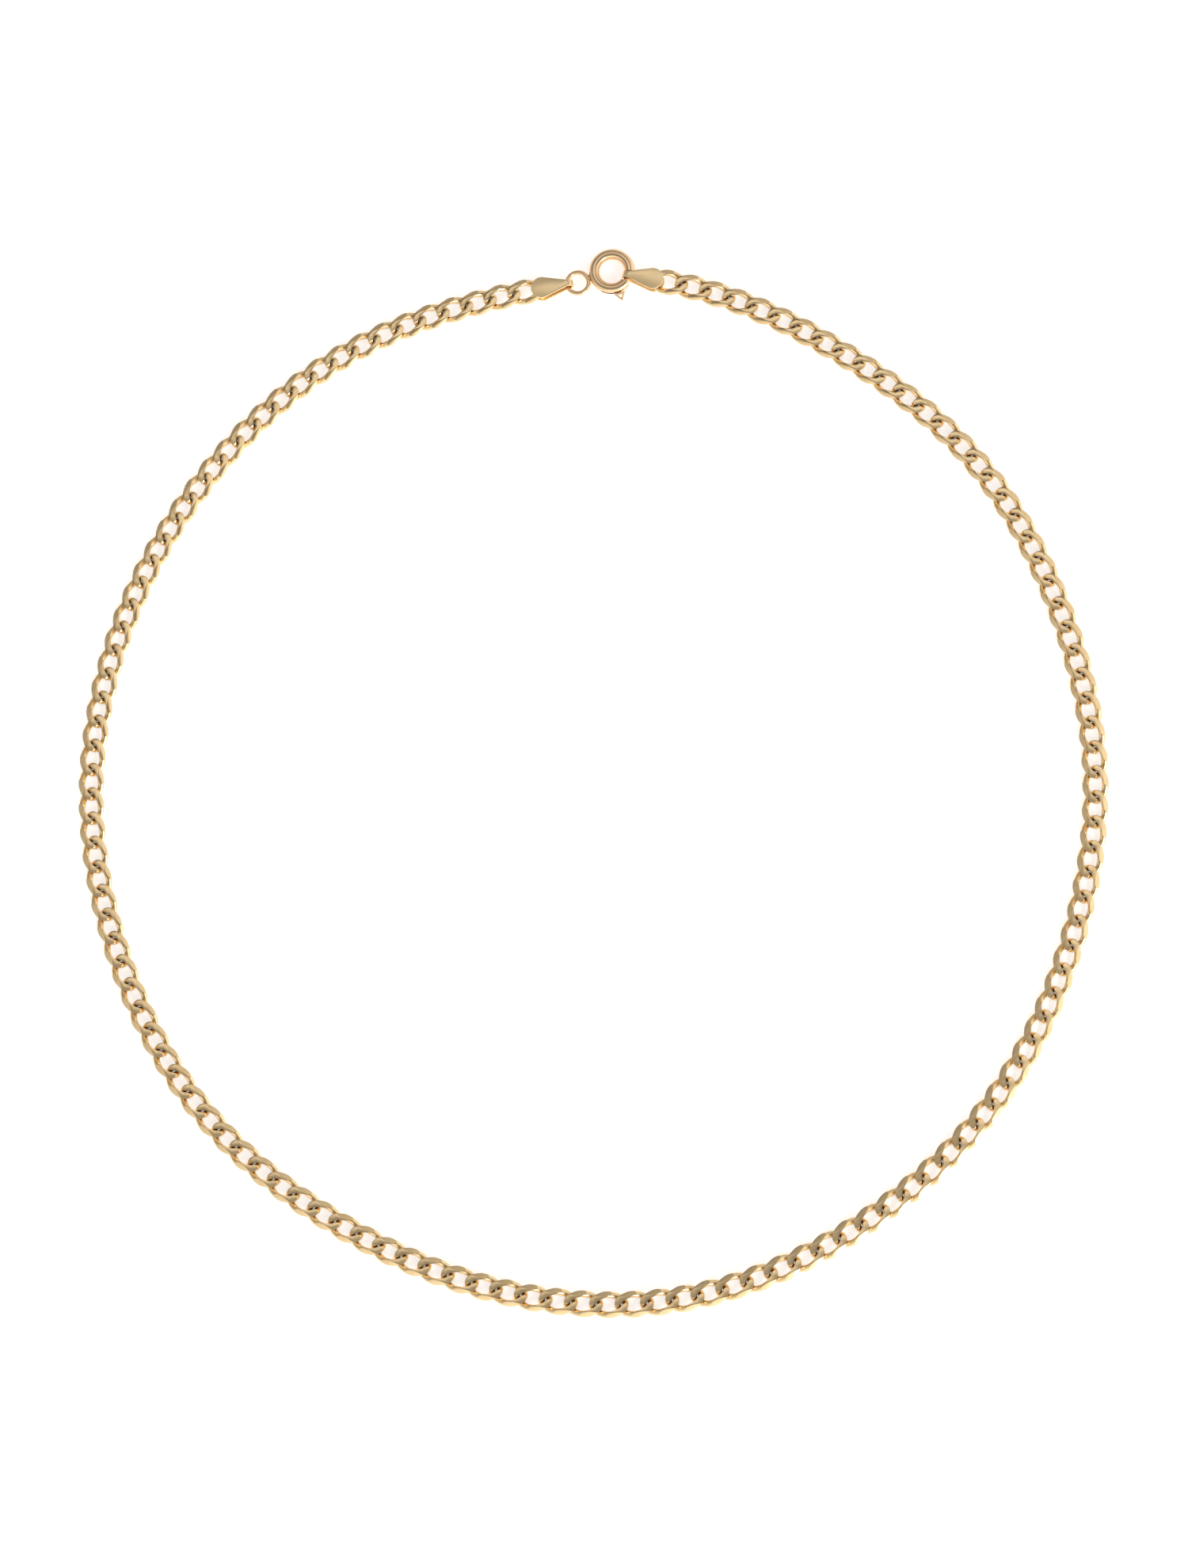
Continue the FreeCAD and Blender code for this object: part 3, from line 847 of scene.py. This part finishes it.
def model_eye(size):
    """The small ring soldered to the clasp's outer side, with the solder run into the corner."""
    eye_radius = (size.eye - size.eye_wire) / 2
    height = size.tube / 2
    reach = size.ring / 2 + size.eye / 2 - size.solder
    middle = polar(reach, size.eye_angle, height)
    bpy.ops.mesh.primitive_torus_add(major_segments=64, minor_segments=20, major_radius=eye_radius,
                                     minor_radius=size.eye_wire / 2, location=middle)
    eye = moved(bpy.context.object, Matrix.Identity(4))
    blob_place = polar(size.ring / 2 + size.solder, size.eye_angle, height)
    bpy.ops.mesh.primitive_uv_sphere_add(segments=24, ring_count=16, radius=1.0, location=(0, 0, 0))
    blob = bpy.context.object
    shape = Matrix.Diagonal((0.26, 0.62, 0.33, 1.0))
    moved(blob, Matrix.Translation(blob_place) @ Matrix.Rotation(size.eye_angle, 4, "Z") @ shape)
    with_modifier(eye, "BOOLEAN", operation="UNION", object=blob, solver="EXACT")
    bpy.data.objects.remove(blob)
    bpy.ops.mesh.primitive_torus_add(major_segments=96, minor_segments=32, major_radius=ring_radius(size),
                                     minor_radius=size.tube / 2, location=(0, 0, height))
    ring = moved(bpy.context.object, Matrix.Identity(4))
    cut_out(eye, ring)
    with_modifier(eye, "REMESH", mode="VOXEL", voxel_size=0.03, use_smooth_shade=True)
    with_modifier(eye, "SMOOTH", factor=0.6, iterations=3)
    return eye


class NECKLACE_OT_ring_tube(bpy.types.Operator):
    """Models the clasp's hollow ring with its mouth and the thumb pin's slot"""
    bl_idname = "necklace.ring_tube"
    bl_label = "Clasp ring"

    def execute(self, context):
        size = context.scene.necklace_clasp
        tube = named(moved(model_ring_tube(size), ring_place()), "clasp_ring_polished")
        smooth(tube, 35.0)
        hand_over(tube, "clasp", "clasp_ring_tube", metal_of("clasp_gold"))
        eye = named(moved(model_eye(size), ring_place()), "clasp_eye_soldered")
        smooth(eye, 60.0)
        hand_over(eye, "clasp", "clasp_eye", metal_of("clasp_gold"))
        return {"FINISHED"}


class NECKLACE_OT_bolt(bpy.types.Operator):
    """Models the sliding bolt, its thumb pin, the spring and the stop"""
    bl_idname = "necklace.bolt"
    bl_label = "Bolt and spring"

    def execute(self, context):
        size = context.scene.necklace_clasp
        place = ring_place()
        pieces = (
            (model_bolt, "bolt_polished", "bolt", "clasp_bolt", "clasp_gold", 40.0),
            (model_thumb_pin, "thumb_pin_polished", "bolt", "thumb_pin", "clasp_gold", 35.0),
            (model_spring, "spring_coil", "clasp", "bolt_spring", "spring_steel", 60.0),
            (model_stop, "spring_stop_plug", "clasp", "spring_stop", "clasp_gold", 35.0))
        for model, name, body, node, slot, angle in pieces:
            piece = named(moved(model(size), place), name)
            smooth(piece, angle)
            hand_over(piece, body, node, metal_of(slot))
        return {"FINISHED"}


# ---- end tags ------------------------------------------------------------------------------------
def tag_outline(size):
    """The teardrop seen from above: a narrow neck, straight sides and a round end."""
    fold = size.height / 2
    neck = size.neck / 2
    middle = size.length - fold - size.round_radius
    distance = math.hypot(middle, neck)
    slope = math.asin(size.round_radius / distance) - math.atan2(neck, middle)
    outline = [(-2 * fold, -neck), (0.0, -neck)]
    start = -math.pi / 2 - slope
    steps = 40
    for step in range(steps + 1):
        turn = start + (2 * abs(start)) * step / steps
        outline.append((middle + size.round_radius * math.cos(turn), size.round_radius * math.sin(turn)))
    outline += [(0.0, neck), (-2 * fold, neck)]
    return outline


def tag_profile(size):
    """The folded strip seen from its edge: along, and height."""
    outer = size.height / 2
    inner = outer - size.sheet
    steps = 20
    profile = [(size.length, -outer)]
    for step in range(steps + 1):
        turn = -math.pi / 2 - math.pi * step / steps
        profile.append((outer * math.cos(turn), outer * math.sin(turn)))
    profile += [(size.length, outer), (size.length, inner)]
    for step in range(steps + 1):
        turn = math.pi / 2 + math.pi * step / steps
        profile.append((inner * math.cos(turn), inner * math.sin(turn)))
    profile.append((size.length, -inner))
    return profile


def model_tag(size):
    """A strip folded over, cut to a teardrop, in millimetres with its lower leaf on Z = 0."""
    strip = flat_piece(tag_profile(size), size.round_radius * 4)
    moved(strip, Matrix.Translation((0, 0, size.height / 2)) @ Matrix.Rotation(math.pi / 2, 4, "X"))
    plan = flat_piece(tag_outline(size), size.height * 3)
    with_modifier(strip, "BOOLEAN", operation="INTERSECT", object=plan, solver="EXACT")
    bpy.data.objects.remove(plan)
    soften_edges(strip, size.edge_softness, degrees=40.0, segments=3)
    return strip


def model_post(size):
    """The post between the two leaves."""
    across = size.length - size.height / 2 - size.post_inset
    low, high = size.sheet, size.height - size.sheet
    bpy.ops.mesh.primitive_cylinder_add(vertices=32, radius=size.post / 2, depth=high - low,
                                        location=(across, 0, (low + high) / 2))
    post = moved(bpy.context.object, Matrix.Identity(4))
    soften_edges(post, 0.03, degrees=50.0)
    return post


def tag_place(side):
    """A tag's place: its fold's axis and its heading, read from the frame."""
    post = frame_middle(side + "_tag_post")
    fold = JOINTS["eye_hinge"]["pos_m"] if side == "left" else right_fold(post)
    heading = math.atan2(post.y - fold[1], post.x - fold[0])
    turn = Matrix.Rotation(heading, 4, "Z")
    return Matrix.Translation((fold[0], fold[1], 0.0)) @ turn @ Matrix.Scale(MM, 4)


def frame_middle(node):
    low, high = (Vector(corner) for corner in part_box(node))
    return (low + high) / 2


def right_fold(post):
    """The right tag's fold goes round the bolt, in the ring's mouth."""
    size = bpy.context.scene.necklace_clasp
    ring = Vector(JOINTS["bolt_slide"]["pos_m"])
    return ring + polar(ring_radius(size) * MM, size.catch)


class NECKLACE_OT_tags(bpy.types.Operator):
    """Models the two folded end tags and their posts"""
    bl_idname = "necklace.tags"
    bl_label = "End tags"

    def execute(self, context):
        size = context.scene.necklace_tags
        for side in ("left", "right"):
            place = tag_place(side)
            tag = named(moved(model_tag(size), place), side + "_tag_polished")
            smooth(tag, 35.0)
            hand_over(tag, side + "_tag", side + "_tag", metal_of("tag_gold"))
            post = named(moved(model_post(size), place), side + "_post_polished")
            smooth(post, 35.0)
            hand_over(post, side + "_tag", side + "_tag_post", metal_of("tag_gold"))
        return {"FINISHED"}


# ---- stage ---------------------------------------------------------------------------------------
def floor_material():
    """Matt white board with the faintest mottling."""
    metal = Metal("white_board")
    mottle = metal.noise(40.0, detail=4.0)
    colour = metal.mix(mottle, (0.93, 0.93, 0.93, 1.0), (0.95, 0.95, 0.95, 1.0))
    shader = metal.node("ShaderNodeBsdfPrincipled", {}, {
        "Base Color": colour, "Roughness": 0.85, "Specular IOR Level": 0.1,
        "Emission Color": colour, "Emission Strength": 0.55})
    metal.give(shader, "ShaderNodeOutputMaterial")
    return metal.material


def add_light(name, place, target, width, height, power, colour=(1.0, 1.0, 1.0)):
    """A soft rectangular light that faces a target."""
    bpy.ops.object.light_add(type="AREA", location=place)
    light = bpy.context.object
    light.name = name
    light.data.shape = "RECTANGLE"
    light.data.size = width
    light.data.size_y = height
    light.data.energy = power
    light.data.color = colour
    light.rotation_euler = (Vector(target) - Vector(place)).to_track_quat("-Z", "Y").to_euler()
    return light


def studio_world():
    """A pale tent by direction: a dim opening overhead with a dark rim, and one brighter side."""
    world = bpy.data.worlds.new("pale_tent")
    bpy.context.scene.world = world
    recipe = Recipe(world)
    way = recipe.node("ShaderNodeTexCoord", {}, {}, output="Generated")
    parts = recipe.node("ShaderNodeSeparateXYZ", {}, {"Vector": way}).socket.node
    east, north, up = (Wire(recipe, parts.outputs[index]) for index in range(3))
    towards_bright = east * 0.60 - north * 0.80
    sides = towards_bright * 0.60 + 0.92
    overhead = up.between(0.80, 0.90)
    rim = up.between(0.70, 0.78) * (1.0 - up.between(0.84, 0.90))
    tent = sides * (1.0 - overhead) + overhead * (north.between(0.0, 0.374) * 0.70 + 0.38)
    glow = tent * (1.0 - rim * 0.85)
    shader = recipe.node("ShaderNodeBackground", {}, {"Color": (1.0, 1.0, 1.0, 1.0), "Strength": glow})
    recipe.give(shader, "ShaderNodeOutputWorld")


def aim_camera(stage):
    """Looks down on the loop from a little to the front and the right."""
    target = Vector((stage.aim_right, -stage.aim_front, 0.0))
    far = stage.camera_distance
    place = target + Vector((far * math.sin(stage.lean_right), -far * math.sin(stage.lean_front),
                             far * math.cos(stage.lean_front)))
    bpy.ops.object.camera_add(location=place)
    camera = bpy.context.object
    forward = (target - place).normalized()
    right = forward.cross(Vector((0, 1, 0))).normalized()
    up = right.cross(forward)
    camera.rotation_euler = Matrix((right, up, -forward)).transposed().to_euler()
    camera.data.sensor_fit = "HORIZONTAL"
    camera.data.sensor_width = 36.0
    camera.data.lens = stage.lens
    camera.data.clip_start = 0.01
    camera.data.clip_end = 20.0
    bpy.context.scene.camera = camera


class NECKLACE_OT_stage(bpy.types.Operator):
    """Lays a pale floor and adds the lights and the camera"""
    bl_idname = "necklace.stage"
    bl_label = "Stage"

    def execute(self, context):
        clear_selection()
        stage = context.scene.necklace_stage
        bpy.ops.mesh.primitive_plane_add(size=stage.floor, location=(0, 0, CAD_BOX[0][2] - 0.0001))
        floor = moved(bpy.context.object, Matrix.Identity(4))
        named(floor, "floor")
        floor.data.materials.append(floor_material())
        studio_world()
        add_light("key_light", (0.50, -0.55, 0.42), (0, 0, 0), 0.25, 0.25, 2.5)
        context.scene.view_settings.view_transform = "Standard"
        aim_camera(stage)
        return {"FINISHED"}


# ---- panel and running ---------------------------------------------------------------------------
STEPS = (NECKLACE_OT_links, NECKLACE_OT_ring_tube, NECKLACE_OT_bolt, NECKLACE_OT_tags, NECKLACE_OT_stage)


class NECKLACE_PT_build(bpy.types.Panel):
    """Lists the steps that build the necklace"""
    bl_idname = "NECKLACE_PT_build"
    bl_label = "Necklace"
    bl_space_type = "VIEW_3D"
    bl_region_type = "UI"
    bl_category = "Necklace"

    def draw(self, context):
        for step in STEPS:
            self.layout.operator(step.bl_idname)
        for name, group in SETTINGS.items():
            box = self.layout.box()
            for field in group.__annotations__:
                box.prop(getattr(context.scene, name), field)


CLASSES = tuple(SETTINGS.values()) + STEPS + (NECKLACE_PT_build,)


def register():
    for kind in CLASSES:
        bpy.utils.register_class(kind)
    for name, group in SETTINGS.items():
        setattr(bpy.types.Scene, name, PointerProperty(type=group))


def unregister():
    for name in SETTINGS:
        delattr(bpy.types.Scene, name)
    for kind in reversed(CLASSES):
        bpy.utils.unregister_class(kind)


def main():
    register()
    clear_selection()
    for step in STEPS:
        group, name = step.bl_idname.split(".")
        getattr(getattr(bpy.ops, group), name)()


if __name__ == "__main__":
    main()
